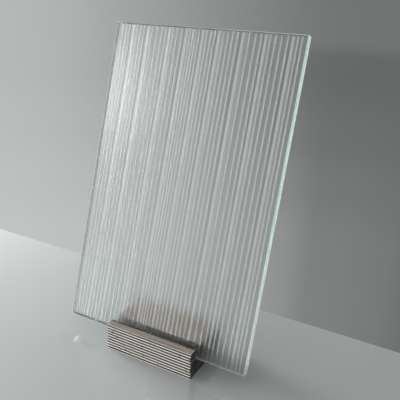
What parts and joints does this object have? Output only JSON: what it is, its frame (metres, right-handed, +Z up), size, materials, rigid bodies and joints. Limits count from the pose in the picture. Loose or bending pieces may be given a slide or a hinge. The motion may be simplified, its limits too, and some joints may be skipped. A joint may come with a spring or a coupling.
{
  "type": "patterned glass sheet in a slotted board block",
  "caption": "Sheet of ribbed glass with a plain front and ground edges, standing tilted in the slot of a small block of glued corrugated board.",
  "frame": {"origin": "centre of the block's base, on the level floor", "axes": "+X along the slot and across the ribs, to the right seen from the plain front; +Y from the front of the block to its rear, the way the sheet leans; +Z up"},
  "size_m": [0.2, 0.1037, 0.3096],
  "materials": {
    "glass": "satin, ribbed back",
    "board": "matt warm grey liner"
  },
  "bodies": {
    "root": {"glass_sheet": "glass", "base_board_1": "board", "base_board_2": "board", "base_board_3": "board", "base_board_4": "board", "base_board_5": "board", "front_strip_1": "board", "front_strip_2": "board", "front_strip_3": "board", "front_strip_4": "board", "rear_board_1": "board", "rear_board_2": "board", "rear_board_3": "board", "rear_board_4": "board"}
  },
  "joints": []
}
